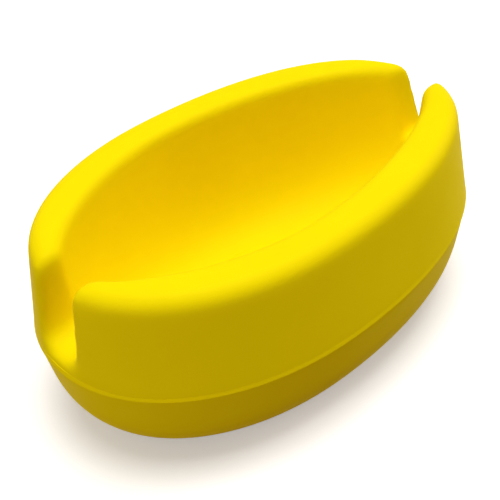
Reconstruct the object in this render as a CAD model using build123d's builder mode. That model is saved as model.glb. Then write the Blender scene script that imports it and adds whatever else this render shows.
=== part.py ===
"""Press mould for flat method feeders: one soft-rubber moulding with a push-up floor.

Bait is pressed into the oval cavity, the feeder goes in on top of it with its stem in the
two end slots, and a thumb in the hollow foot lifts the thin floor to free it. Millimetres,
+Z up, origin on the table under the middle of the cavity, +X along the length.
"""

import os
from math import cos, radians, sin, tan

from build123d import *

# Outline of the moulding at its parting line, where it is widest. Every oval here is an egg,
# broadest towards the stem slot, by a share of its half-length. Its fullness is the length of
# its handles as a share of its half-sizes: 0.552 is elliptical, more is squarer.
length = 64.0
width = 41.5
widest_shift = 0.13
outline_fullness = 0.58

# Rounded base below the parting line, and the walls above it, which lean in to the rim
base_height = 13.0
foot_inset = 2.2
foot_edge_radius = 7.6
wall_height = 13.2
rim_end_inset = 1.75
rim_side_inset = 2.3
wall_edge_radius = 1.3

# Cavity: a dish that starts inside these walls at the rim and flattens towards its floor
end_wall = 2.7
side_wall = 5.1
cavity_depth = 19.0
cavity_fullness = 0.465
dish_squareness = 3.9
dish_steps = 8
dish_last_angle = 80.0

# Slots through the end walls, from a little above the parting line: one at the -X end that
# closes towards the rim and so grips the feeder's stem, and a narrow V at +X for its line
slot_rise = 3.1
stem_slot_width = 6.3
stem_slot_flare_angle = -2.2
stem_slot_corner = 1.2
line_slot_width = 1.4
line_slot_flare_angle = 11.5
line_slot_corner = 0.6
slot_cut_past_rim = 1.0

# Thumb hollow in the foot, and the thin floor over it, which sits in a tapered seat
hollow_margin = 12.8
hollow_height = 12.0
hollow_edge_radius = 1.0
floor_thickness = 2.0
hinge_width = 2.6
seat_taper = 8.0
seat_clearance = 0.25

rim_height = base_height + wall_height
slot_top = rim_height + slot_cut_past_rim
rim_length = length - 2 * rim_end_inset
rim_width = width - 2 * rim_side_inset
slot_bottom = base_height + slot_rise
hollow_length = length - 2 * hollow_margin
hollow_width = width - 2 * hollow_margin


def egg_side(long, short, fullness):
    """The +Y half of an egg's outline: a cubic from each end to the widest place."""
    a, b = long / 2, short / 2
    widest = -widest_shift * a
    for end in (a, -a):
        Bezier((end, 0), (end, fullness * b), (widest + fullness * (end - widest), b), (widest, b))


def oval(long, short, fullness):
    """Face inside a closed egg outline."""
    with BuildLine() as outline:
        egg_side(long, short, fullness)
        mirror(about=Plane.XZ)
    make_face(outline.edges())


def oval_wall(low, high, fullness, mode):
    """Solid between two ovals, each given as its height, length and width."""
    sections = []
    for height, long, short in (low, high):
        with BuildSketch(Plane.XY.offset(height)) as section:
            oval(long, short, fullness)
        sections.append(section.sketch)
    loft(sections, mode=mode)


def dish(extra, mode):
    """Cavity as a solid, grown outwards and downwards by extra: its +Y half, mirrored."""
    long = rim_length - 2 * end_wall + 2 * extra
    short = rim_width - 2 * side_wall + 2 * extra
    depth = cavity_depth + extra
    sections = []
    for step in range(dish_steps):
        down = sin(radians(dish_last_angle * step / (dish_steps - 1)))
        share = (1 - down ** dish_squareness) ** (1 / dish_squareness)
        with BuildSketch(Plane.XY.offset(rim_height - depth * down)) as section:
            with BuildLine() as outline:
                egg_side(long * share, short * share, cavity_fullness)
                Line((-long * share / 2, 0), (long * share / 2, 0))
            make_face(outline.edges())
        sections.append(section.sketch)
    with BuildPart() as both_halves:
        loft(sections)
        mirror(about=Plane.XZ)
    add(both_halves.part, mode=mode)


def floor_plug(extra, mode):
    """Upright oval through the floor, wider at the top so that the floor can only rise."""
    spread = 2 * hollow_height * tan(radians(seat_taper))
    long = hollow_length - 2 * hinge_width + 2 * extra
    short = hollow_width - 2 * hinge_width + 2 * extra
    oval_wall((0, long, short), (hollow_height, long + spread, short + spread),
              outline_fullness, mode)


def slot_spread(flare):
    """How far a slot's side leans out on its way from the slot's bottom to its top."""
    return (slot_top - slot_bottom) * tan(radians(flare))


def slot_reach(bottom_width, flare):
    """Half of a slot's greatest width."""
    return bottom_width / 2 + max(0, slot_spread(flare))


def cut_slot(end, bottom_width, flare, corner):
    """Open-topped slot through the end wall on side end of the middle, -1 or 1."""
    half = bottom_width / 2
    flared = half + slot_spread(flare)
    with BuildSketch(Plane.YZ) as outline:
        with BuildLine():
            Polyline((half, slot_bottom), (flared, slot_top), (-flared, slot_top),
                     (-half, slot_bottom), close=True)
        make_face()
        fillet(outline.vertices().group_by(Axis.Y)[0], radius=corner)
    extrude(outline.sketch, amount=end * length, mode=Mode.SUBTRACT)


with BuildPart() as thumb_hollow:
    with BuildSketch():
        oval(hollow_length, hollow_width, outline_fullness)
    extrude(amount=hollow_height)
    dish(floor_thickness, Mode.SUBTRACT)

with BuildPart() as mould_body:
    foot = (0, length - 2 * foot_inset, width - 2 * foot_inset)
    parting = (base_height, length, width)
    rim = (rim_height, rim_length, rim_width)
    oval_wall(foot, parting, outline_fullness, Mode.ADD)
    fillet(mould_body.faces().sort_by(Axis.Z)[0].edges(), radius=foot_edge_radius)
    oval_wall(parting, rim, outline_fullness, Mode.ADD)
    add(thumb_hollow.part, mode=Mode.SUBTRACT)
    dish(0, Mode.SUBTRACT)
    cut_slot(-1, stem_slot_width, stem_slot_flare_angle, stem_slot_corner)
    cut_slot(1, line_slot_width, line_slot_flare_angle, line_slot_corner)
    rims = mould_body.faces().filter_by(Axis.Z).group_by(Axis.Z)[-1]
    reach = max(slot_reach(stem_slot_width, stem_slot_flare_angle),
                slot_reach(line_slot_width, line_slot_flare_angle))
    slot_edges = mould_body.edges().filter_by(
        lambda edge: abs(edge.center().Y) < reach and edge.center().Z > slot_bottom - 0.1)
    fillet(rims.edges() + slot_edges.filter_by(Axis.X, reverse=True),
           radius=min(wall_edge_radius, 0.45 * end_wall, 0.45 * side_wall))
    foot_face = mould_body.faces().sort_by(Axis.Z)[0]
    fillet(foot_face.inner_wires()[0].edges(), radius=hollow_edge_radius)
    floor_plug(seat_clearance, Mode.SUBTRACT)
mould_body.part.label = "mould_body"

with BuildPart() as release_floor:
    dish(floor_thickness, Mode.ADD)
    dish(0, Mode.SUBTRACT)
    floor_plug(0, Mode.INTERSECT)
release_floor.part.label = "release_floor"

os.makedirs("parts", exist_ok=True)
export_step(mould_body.part, "parts/mould_body.step")
export_step(release_floor.part, "parts/release_floor.step")
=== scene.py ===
from math import atan, cos, pi, radians, sin, tan

import bpy
from mathutils import Matrix, Vector


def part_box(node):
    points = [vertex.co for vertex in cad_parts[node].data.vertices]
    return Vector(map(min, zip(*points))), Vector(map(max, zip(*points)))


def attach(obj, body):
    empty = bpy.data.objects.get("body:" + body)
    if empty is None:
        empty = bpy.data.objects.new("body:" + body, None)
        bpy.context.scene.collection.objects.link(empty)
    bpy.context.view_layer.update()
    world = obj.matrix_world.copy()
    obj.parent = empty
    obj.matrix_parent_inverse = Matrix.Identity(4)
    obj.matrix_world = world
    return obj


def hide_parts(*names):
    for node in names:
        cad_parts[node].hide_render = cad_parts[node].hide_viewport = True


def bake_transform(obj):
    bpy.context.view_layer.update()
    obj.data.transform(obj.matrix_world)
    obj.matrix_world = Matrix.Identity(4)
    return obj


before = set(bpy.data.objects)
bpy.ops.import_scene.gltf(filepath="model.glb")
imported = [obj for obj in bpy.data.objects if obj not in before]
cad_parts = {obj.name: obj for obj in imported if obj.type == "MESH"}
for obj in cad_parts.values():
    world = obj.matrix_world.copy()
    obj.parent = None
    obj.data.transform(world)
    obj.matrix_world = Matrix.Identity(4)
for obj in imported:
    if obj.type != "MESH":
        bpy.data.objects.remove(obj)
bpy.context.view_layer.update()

# ---------------------------------------------------------------------------------------
# The moulding: one piece of soft yellow rubber, cast foot down in a two-part mould.
# Stacked here ring by ring from foot to rim, hollowed from both sides, slotted at both ends,
# and then softened all over, because cast rubber has no sharp edge.
low, high = (Vector(corner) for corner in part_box("mould_body"))
length, width, height = high - low
parting_height = 0.0130
past = 0.001  # how far a cutting tool reaches beyond what it cuts
hair = 0.0001  # tolerance for picking a tool's corners

# Every oval is an egg, broadest towards the stem slot by a share of its half-length. Its
# fullness is the length of its handles as a share of its half-sizes: more is squarer.
widest_shift = 0.13
outline_fullness, cavity_fullness, ellipse_fullness = 0.58, 0.465, 0.5523
quarter_steps = 32


def only(piece):
    """Leaves this piece alone selected and active."""
    bpy.ops.object.select_all(action="DESELECT")
    bpy.context.view_layer.objects.active = piece
    piece.select_set(True)


def apply_modifier(piece, kind, **settings):
    """Adds a modifier with these settings to the piece and applies it."""
    only(piece)
    bpy.ops.object.modifier_add(type=kind)
    modifier = piece.modifiers[-1]
    for name, value in settings.items():
        setattr(modifier, name, value)
    bpy.ops.object.modifier_apply(modifier=modifier.name)


def combine(piece, tool, operation):
    """Cuts the piece with the tool or keeps what they share, then throws the tool away."""
    apply_modifier(piece, "BOOLEAN", operation=operation, object=tool, solver="EXACT")
    bpy.data.objects.remove(tool)


def egg_ring(name, long, short, level, fullness):
    """Starts a solid as a flat egg, broadest towards the stem slot, left in edit mode."""
    bpy.ops.object.select_all(action="DESELECT")
    bpy.ops.curve.primitive_bezier_circle_add(radius=1, location=(0, 0, 0))
    ring = bpy.context.object
    ring.name = name
    for point in ring.data.splines[0].bezier_points:
        point.handle_left_type = point.handle_right_type = "FREE"
        widest = abs(point.co.y) > 0.5
        for side in ("handle_left", "handle_right"):
            handle = (getattr(point, side) - point.co) * fullness / ellipse_fullness
            if widest:
                handle.x *= 1 + widest_shift if handle.x > 0 else 1 - widest_shift
            setattr(point, side, point.co + handle - Vector((widest_shift * widest, 0, 0)))
        point.co.x -= widest_shift * widest
    ring.data.resolution_u = quarter_steps
    bpy.ops.object.convert(target="MESH")
    ring.scale = (long / 2, short / 2, 1)
    ring.location = (0, 0, level)
    bpy.ops.object.transform_apply(location=True, rotation=False, scale=True)
    bpy.ops.object.mode_set(mode="EDIT")
    bpy.ops.mesh.select_mode(type="VERT")
    bpy.ops.mesh.select_all(action="SELECT")
    bpy.ops.mesh.edge_face_add()
    return ring


def stack(name, rings, fullness):
    """Closed solid through egg-shaped rings, each given as its length, width and level."""
    long, short, level = rings[0]
    solid = egg_ring(name, long, short, level, fullness)
    for next_long, next_short, next_level in rings[1:]:
        bpy.ops.mesh.extrude_region_move(
            TRANSFORM_OT_translate={"value": (0, 0, next_level - level)})
        bpy.ops.transform.resize(value=(next_long / long, next_short / short, 1),
                                 center_override=(0, 0, next_level))
        long, short, level = next_long, next_short, next_level
    bpy.ops.mesh.select_all(action="SELECT")
    bpy.ops.mesh.normals_make_consistent(inside=False)
    bpy.ops.object.mode_set(mode="OBJECT")
    return solid


# Outside: a rounded foot, a base that widens to the parting line, and walls that lean in
# to a rounded rim.
foot_inset, foot_radius, foot_steps = 0.0022, 0.0096, 8
knee_inset = 0.00004
rim_end_inset, rim_side_inset, rim_radius, rim_steps = 0.00175, 0.0023, 0.0017, 7

outer_rings = []
foot_lean = atan(foot_inset / parting_height)
for step in range(foot_steps + 1):
    turn = -pi / 2 + (pi / 2 - foot_lean) * step / foot_steps
    inset = (foot_inset - foot_radius * tan(foot_lean)
             + foot_radius / cos(foot_lean) - foot_radius * cos(turn))
    outer_rings.append((length - 2 * inset, width - 2 * inset, foot_radius * (1 + sin(turn))))
outer_rings.append((length - 2 * knee_inset, width - 2 * knee_inset, parting_height))
for step in range(rim_steps + 1):
    turn = pi / 2 * step / rim_steps
    level = height - rim_radius * (1 - sin(turn))
    risen = (level - parting_height) / (height - parting_height)
    curl = rim_radius * (1 - cos(turn))
    outer_rings.append((length - 2 * (rim_end_inset * risen + curl),
                        width - 2 * (rim_side_inset * risen + curl), level))
moulding = stack("moulding", outer_rings, outline_fullness)

# Cavity: a dish inside these walls, steep at its rounded lip and flatter towards its floor.
end_wall, side_wall = 0.0027, 0.0051
cavity_depth, dish_squareness = 0.0190, 3.9
dish_last_angle, dish_steps = radians(89), 28
lip_radius, lip_steps, lip_clearance = 0.0012, 6, 0.00025
cavity_length = length - 2 * rim_end_inset - 2 * end_wall
cavity_width = width - 2 * rim_side_inset - 2 * side_wall


def dish_rings(grown):
    """The cavity's rings below its lip, grown outwards and downwards."""
    rings = []
    for step in range(1, dish_steps + 1):
        down = sin(dish_last_angle * step / dish_steps)
        share = (1 - down ** dish_squareness) ** (1 / dish_squareness)
        rings.append(((cavity_length + 2 * grown) * share, (cavity_width + 2 * grown) * share,
                      height - (cavity_depth + grown) * down))
    return rings


lip_rings = [(cavity_length + 2 * lip_radius, cavity_width + 2 * lip_radius, height + past)]
for step in range(lip_steps + 1):
    turn = pi / 2 * step / lip_steps
    out = 2 * lip_radius * (1 - sin(turn))
    lip_rings.append((cavity_length + out, cavity_width + out,
                      height - lip_radius * (1 - cos(turn))))
below_lip = [ring for ring in dish_rings(0) if ring[2] < height - lip_radius - lip_clearance]

# Thumb hollow: let into the foot before the cavity is cut, its roof a floor's thickness below
# the dish.
hollow_margin, hollow_height, floor_thickness = 0.0128, 0.0120, 0.0020
hollow_length, hollow_width = length - 2 * hollow_margin, width - 2 * hollow_margin

thumb_hollow = stack("thumb_hollow", [(hollow_length, hollow_width, -past),
                                      (hollow_length, hollow_width, hollow_height)],
                     outline_fullness)
skin_top = (cavity_length + 2 * floor_thickness, cavity_width + 2 * floor_thickness, height)
combine(thumb_hollow, stack("dish_skin", [skin_top] + dish_rings(floor_thickness),
                            cavity_fullness), "DIFFERENCE")
combine(moulding, thumb_hollow, "DIFFERENCE")
combine(moulding, stack("dish_space", lip_rings + below_lip, cavity_fullness), "DIFFERENCE")

# Slots: one at the broad end with nearly upright sides, which grips a feeder's stem, and a
# narrow V at the other end for its line. Spread and tilt say how far the sides lean apart and
# aside as a share of their height, and fall says the same of the bottom over half the length.
# The funnel widens a slot where it opens into the cavity, from funnel_start inwards.
mouth_steps, corner_steps, funnel_depth = 6, 8, 0.0065
stem_slot = {"bottom": 0.0152, "bottom_width": 0.0061, "corner": 0.0019, "fall": 0.12,
             "spread": -0.006, "tilt": 0.0, "mouth_radius": 0.0013,
             "funnel": 1.0, "funnel_start": 0.0045}
line_slot = {"bottom": 0.0161, "bottom_width": 0.0008, "corner": 0.0003, "fall": 0.0,
             "spread": 0.222, "tilt": 0.040, "mouth_radius": 0.0009,
             "funnel": 1.3, "funnel_start": 0.0017}


def pick(piece, kind, wanted):
    """Selects the wanted vertices, edges or faces of the piece, and stays in edit mode."""
    bpy.ops.object.mode_set(mode="EDIT")
    bpy.ops.mesh.select_mode(type=kind)
    bpy.ops.mesh.select_all(action="DESELECT")
    bpy.ops.object.mode_set(mode="OBJECT")
    mesh = piece.data
    for part in {"VERT": mesh.vertices, "EDGE": mesh.edges, "FACE": mesh.polygons}[kind]:
        part.select = wanted(part)
    bpy.ops.object.mode_set(mode="EDIT")


def cut_slot(end, bottom, bottom_width, corner, fall, spread, tilt, mouth_radius,
             funnel, funnel_start):
    """Cuts an open-topped slot through the moulding's end wall, at -X or +X by end."""
    depth = height - mouth_radius - bottom
    middle = (end * (length * 3 / 4 - funnel_start), 0, bottom + depth / 2)
    bpy.ops.object.select_all(action="DESELECT")
    bpy.ops.mesh.primitive_cube_add(size=1, location=middle)
    tool = bpy.context.object
    tool.name = "slot_tool"
    tool.scale = (length / 2, bottom_width, depth)
    bpy.ops.object.transform_apply(location=True, rotation=False, scale=True)

    def along_the_bottom(edge):
        a, b = (tool.data.vertices[i].co for i in edge.vertices)
        return max(a.z, b.z) < middle[2] and abs(a.x - b.x) > depth / 4

    pick(tool, "EDGE", along_the_bottom)
    bpy.ops.mesh.bevel(offset=corner, segments=corner_steps)

    half = bottom_width / 2 + depth * spread
    pick(tool, "FACE", lambda face: face.normal.z > 0.9)
    bpy.ops.transform.translate(value=(0, -depth * tilt, 0))
    bpy.ops.transform.resize(value=(1, 2 * half / bottom_width, 1),
                             center_override=(middle[0], -depth * tilt, height))
    level, reach = height - mouth_radius, half
    for step in range(1, mouth_steps + 2):  # the mouth rolls out over the rim and past it
        turn = pi / 2 * min(step, mouth_steps) / mouth_steps
        next_level = height - mouth_radius * (1 - sin(turn)) + past * (step > mouth_steps)
        next_reach = half + mouth_radius * (1 - cos(turn))
        rise = next_level - level
        bpy.ops.mesh.extrude_region_move(
            TRANSFORM_OT_translate={"value": (0, -rise * tilt, rise)})
        centre = (middle[0], (bottom - next_level) * tilt, height)
        bpy.ops.transform.resize(value=(1, next_reach / reach, 1), center_override=centre)
        level, reach = next_level, next_reach

    pick(tool, "FACE", lambda face: face.normal.x * end < -0.9)
    bpy.ops.mesh.extrude_region_move(
        TRANSFORM_OT_translate={"value": (-end * funnel_depth, 0, 0)})
    bpy.ops.transform.resize(value=(1, funnel, 1), center_override=(0, 0, height))

    pick(tool, "VERT", lambda vertex: (abs(vertex.co.x) > length / 2 + past
                                       and vertex.co.z < bottom + corner + hair))
    bpy.ops.transform.translate(value=(0, 0, -fall * length / 2))
    bpy.ops.object.mode_set(mode="OBJECT")
    combine(moulding, tool, "DIFFERENCE")


cut_slot(-1, **stem_slot)
cut_slot(1, **line_slot)

# Softening: a short round all over, a longer one that fades out away from the slots, and a
# last one after the skin is evened.
smooth_share = 0.5
fine_grain, grain = 0.00026, 0.0004
first_rounds, slot_rounds, last_rounds = 16, 70, 3
slot_soft_half, slot_soft_deep = 0.0052, 0.0080
slot_soft_below, slot_soft_fade = 0.001, 0.0030

apply_modifier(moulding, "REMESH", mode="VOXEL", voxel_size=fine_grain)
apply_modifier(moulding, "SMOOTH", factor=smooth_share, iterations=first_rounds)
near_slots = moulding.vertex_groups.new(name="near_slots")
for vertex in moulding.data.vertices:
    x, y, z = vertex.co
    outside = max(abs(y) - slot_soft_half, length / 2 - slot_soft_deep - abs(x),
                  stem_slot["bottom"] - z - slot_soft_below)
    if outside < slot_soft_fade:
        near_slots.add([vertex.index], min(1, 1 - outside / slot_soft_fade), "REPLACE")
apply_modifier(moulding, "SMOOTH", factor=smooth_share, iterations=slot_rounds,
               vertex_group="near_slots")
moulding.vertex_groups.clear()
apply_modifier(moulding, "REMESH", mode="VOXEL", voxel_size=grain)
apply_modifier(moulding, "SMOOTH", factor=smooth_share, iterations=last_rounds)

# Seat of the push-up floor: a plug that widens upwards, so that its edge cannot be seen until
# a thumb lifts the floor. A copy of the whole moulding is kept, to cut that floor from.
hinge_width, seat_taper = 0.0026, radians(8)
plug_length, plug_width = hollow_length - 2 * hinge_width, hollow_width - 2 * hinge_width
plug_spread = 2 * hollow_height * tan(seat_taper)
plug_rings = [(plug_length, plug_width, -past),
              (plug_length + plug_spread, plug_width + plug_spread, hollow_height)]

only(moulding)
bpy.ops.object.duplicate()
push_floor = bpy.context.object
combine(moulding, stack("plug", plug_rings, outline_fullness), "DIFFERENCE")

# Rubber: dyed right through, satin from the caster's mould, with a very fine grain.
deep_yellow, pale_yellow = (0.95, 0.755, 0.001), (0.97, 0.78, 0.001)
smooth_grey, rough_grey, specular_level = (0.5,) * 3, (0.58,) * 3, 0.015
mottle_scale, sheen_scale, grain_scale = 90, 240, 2600
grain_strength, grain_height = 0.12, 0.0001

rubber = bpy.data.materials.new("yellow_rubber")
rubber.use_nodes = True
rubber_nodes, rubber_links = rubber.node_tree.nodes, rubber.node_tree.links
skin = rubber_nodes["Principled BSDF"]
place = rubber_nodes.new("ShaderNodeTexCoord")


def skin_noise(scale, detail):
    """Noise over the rubber, fixed to the piece."""
    noise = rubber_nodes.new("ShaderNodeTexNoise")
    noise.inputs["Scale"].default_value = scale
    noise.inputs["Detail"].default_value = detail
    rubber_links.new(place.outputs["Object"], noise.inputs["Vector"])
    return noise.outputs["Fac"]


def ramp(source, first, last):
    """Runs from the first colour to the last over the middle of the source's range."""
    node = rubber_nodes.new("ShaderNodeValToRGB")
    for element, position, colour in zip(node.color_ramp.elements, (0.3, 0.7), (first, last)):
        element.position = position
        element.color = (*colour, 1)
    rubber_links.new(source, node.inputs["Fac"])
    return node.outputs["Color"]


rubber_links.new(ramp(skin_noise(mottle_scale, 3), deep_yellow, pale_yellow),
                 skin.inputs["Base Color"])
rubber_links.new(ramp(skin_noise(sheen_scale, 4), smooth_grey, rough_grey),
                 skin.inputs["Roughness"])
skin.inputs["Specular IOR Level"].default_value = specular_level
bump = rubber_nodes.new("ShaderNodeBump")
bump.inputs["Strength"].default_value = grain_strength
bump.inputs["Distance"].default_value = grain_height
rubber_links.new(skin_noise(grain_scale, 5), bump.inputs["Height"])
rubber_links.new(bump.outputs["Normal"], skin.inputs["Normal"])


def dress(piece, crease):
    """Shades the piece smooth up to this crease, in degrees, and makes it of the rubber."""
    only(piece)
    bpy.ops.object.shade_smooth_by_angle(angle=radians(crease))
    piece.data.materials.clear()
    piece.data.materials.append(rubber)


dress(moulding, crease=35)
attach(moulding, "mould")
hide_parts("mould_body")

# ---------------------------------------------------------------------------------------
# The push-up floor: the thin middle of the same moulding, over the thumb hollow.
# Cut by the plug from the copy of the whole moulding, so that it meets its seat all round.
push_floor.name = "push_floor"
combine(push_floor, stack("plug", plug_rings, outline_fullness), "INTERSECT")
dress(push_floor, crease=35)
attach(push_floor, "floor")
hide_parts("release_floor")

# ---------------------------------------------------------------------------------------
# The hinge skirt: the ring of rubber round the floor that stretches when a thumb lifts it.
# It is part of the same casting. At rest it is buried in the floor's seat.
skirt_low, skirt_high, skirt_steps = 0.0060, 0.0075, 12
skirt_out, skirt_in = 0.00004, 0.00030


def skirt_rings(grown):
    """The plug's rings from the skirt's foot to its top, grown outwards."""
    rings = []
    for step in range(skirt_steps + 1):
        level = skirt_low + (skirt_high - skirt_low) * step / skirt_steps
        spread = plug_spread * (level + past) / (hollow_height + past) + 2 * grown
        rings.append((plug_length + spread, plug_width + spread, level))
    return rings


hinge_skirt = stack("hinge_skirt", skirt_rings(skirt_out), outline_fullness)
inner_rings = skirt_rings(-skirt_in)
foot_ring, top_ring = inner_rings[0], inner_rings[-1]
skirt_space = [(*foot_ring[:2], foot_ring[2] - past), *inner_rings,
               (*top_ring[:2], top_ring[2] + past)]
combine(hinge_skirt, stack("skirt_space", skirt_space, outline_fullness), "DIFFERENCE")
dress(hinge_skirt, crease=35)
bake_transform(hinge_skirt)
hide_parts("mould_body")

# ---------------------------------------------------------------------------------------
# The parting line: a hair of flash all round, where the two halves of the caster's mould met.
# The same rubber as the moulding, sunk into it at its root and barely proud at its crest.
flash_root = 0.0014
flash_profile = [  # inset from the widest outline, and rise above the parting height
    (flash_root, -0.00012), (0.00010, -0.00006), (0.00001, 0),
    (0.00008, 0.00030), (0.00016, 0.00060), (flash_root, 0.00080)]
flash_rings = [(length - 2 * inset, width - 2 * inset, parting_height + rise)
               for inset, rise in flash_profile]
parting_line = stack("parting_line", flash_rings, outline_fullness)
inside = (length - 2 * flash_root, width - 2 * flash_root)
inside_rings = [(*inside, parting_height - past), (*inside, parting_height + past)]
combine(parting_line, stack("inside", inside_rings, outline_fullness), "DIFFERENCE")
dress(parting_line, crease=60)
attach(parting_line, "mould")
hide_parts("mould_body")

# ---------------------------------------------------------------------------------------
# Floor: matt white paper under the mould, which keeps the mould's shadow.
# It looks white to the eye but throws only a little warm light back up at the rubber.
paper_size, paper_roughness, paper_glow = 6, 0.9, 0.3
paper_white, paper_bounce = (0.95, 0.95, 0.95, 1), (0.20, 0.115, 0.06, 1)


def seen_by_eye(nodes, links):
    """1 for what the eye sees, straight, mirrored or through something clear, and else 0."""
    path = nodes.new("ShaderNodeLightPath")
    straight, mirrored = nodes.new("ShaderNodeMath"), nodes.new("ShaderNodeMath")
    straight.operation = mirrored.operation = "ADD"
    links.new(path.outputs["Is Camera Ray"], straight.inputs[0])
    links.new(path.outputs["Is Glossy Ray"], straight.inputs[1])
    links.new(straight.outputs["Value"], mirrored.inputs[0])
    links.new(path.outputs["Is Transmission Ray"], mirrored.inputs[1])
    return mirrored.outputs["Value"]


bpy.ops.object.select_all(action="DESELECT")
bpy.ops.mesh.primitive_plane_add(size=paper_size, location=(0, 0, 0))
studio_floor = bpy.context.object
studio_floor.name = "studio_floor"
paper = bpy.data.materials.new("paper")
paper.use_nodes = True
paper_nodes, paper_links = paper.node_tree.nodes, paper.node_tree.links
sheet = paper_nodes["Principled BSDF"]
sheet.inputs["Roughness"].default_value = paper_roughness
sheet.inputs["Emission Color"].default_value = (1, 1, 1, 1)
seen = seen_by_eye(paper_nodes, paper_links)
tint = paper_nodes.new("ShaderNodeMix")
tint.data_type = "RGBA"
tint.inputs["A"].default_value = paper_bounce
tint.inputs["B"].default_value = paper_white
paper_links.new(seen, tint.inputs["Factor"])
paper_links.new(tint.outputs["Result"], sheet.inputs["Base Color"])
glow = paper_nodes.new("ShaderNodeMath")
glow.operation = "MULTIPLY"
glow.inputs[1].default_value = paper_glow
paper_links.new(seen, glow.inputs[0])
paper_links.new(glow.outputs["Value"], sheet.inputs["Emission Strength"])
studio_floor.data.materials.append(paper)

# ---------------------------------------------------------------------------------------
# Backdrop and room: white where it is seen, and a weak warm light from all round where it
# falls on the rubber.
room_colour, room_strength = (1.0, 0.90, 0.78, 1), 0.3

world = bpy.data.worlds.new("studio")
bpy.context.scene.world = world
world.use_nodes = True
world_nodes, world_links = world.node_tree.nodes, world.node_tree.links
room = world_nodes["Background"]
room.inputs["Color"].default_value = room_colour
room.inputs["Strength"].default_value = room_strength
backdrop = world_nodes.new("ShaderNodeBackground")
backdrop.inputs["Color"].default_value = (1, 1, 1, 1)
backdrop.inputs["Strength"].default_value = 1.0
either = world_nodes.new("ShaderNodeMixShader")
world_links.new(seen_by_eye(world_nodes, world_links), either.inputs["Fac"])
world_links.new(room.outputs["Background"], either.inputs[1])
world_links.new(backdrop.outputs["Background"], either.inputs[2])
world_links.new(either.outputs["Shader"], world_nodes["World Output"].inputs["Surface"])

# ---------------------------------------------------------------------------------------
# Lamps: a broad one overhead, and a weaker one low down at each end of the mould.
# Each is given by where its light comes from, how wide it looks in degrees, and its strength.
lamps = {
    "overhead_light": ((0.13, 0, 1), 42, 2.2),
    "left_light": ((-1, -0.03, 0.36), 26, 0.55),
    "right_light": ((1, -0.25, 0.36), 26, 0.65),
}
for name, (source, spread, strength) in lamps.items():
    bpy.ops.object.light_add(type="SUN", location=(0, 0, 1))
    lamp = bpy.context.object
    lamp.name = name
    lamp.rotation_euler = Vector(source).to_track_quat("Z", "Y").to_euler()
    lamp.data.angle, lamp.data.energy = radians(spread), strength

# ---------------------------------------------------------------------------------------
# Camera: looks down on the mould from beyond its stem-slot end, tipped by a few degrees.
# Its distance and the height that it aims at are shares of the mould's length, and its shifts
# are shares of the picture's width.
view_turn, view_lift, view_roll = radians(-38.8), radians(40.43), radians(-4.81)
view_distance, aim_height = 2.198 * length, length / 8
view_angle, sideways_shift, upward_shift = radians(26.62852), -0.0316, 0.0454
nearest_seen = 0.001

backward = Vector((sin(view_turn) * cos(view_lift), -cos(view_turn) * cos(view_lift),
                   sin(view_lift)))
rightward = Vector((cos(view_turn), sin(view_turn), 0))
upward = backward.cross(rightward)
tipped_right = rightward * cos(view_roll) + upward * sin(view_roll)
tipped_up = -rightward * sin(view_roll) + upward * cos(view_roll)
bpy.ops.object.camera_add()
camera = bpy.context.object
camera.name = "camera"
camera.matrix_world = Matrix((tipped_right, tipped_up, backward)).transposed().to_4x4()
camera.location = backward * view_distance + Vector((0, 0, aim_height))
camera.data.lens_unit = "FOV"
camera.data.angle = view_angle
camera.data.shift_x, camera.data.shift_y = sideways_shift, upward_shift
camera.data.clip_start = nearest_seen
bpy.context.scene.camera = camera
bpy.context.scene.view_settings.view_transform = "Standard"
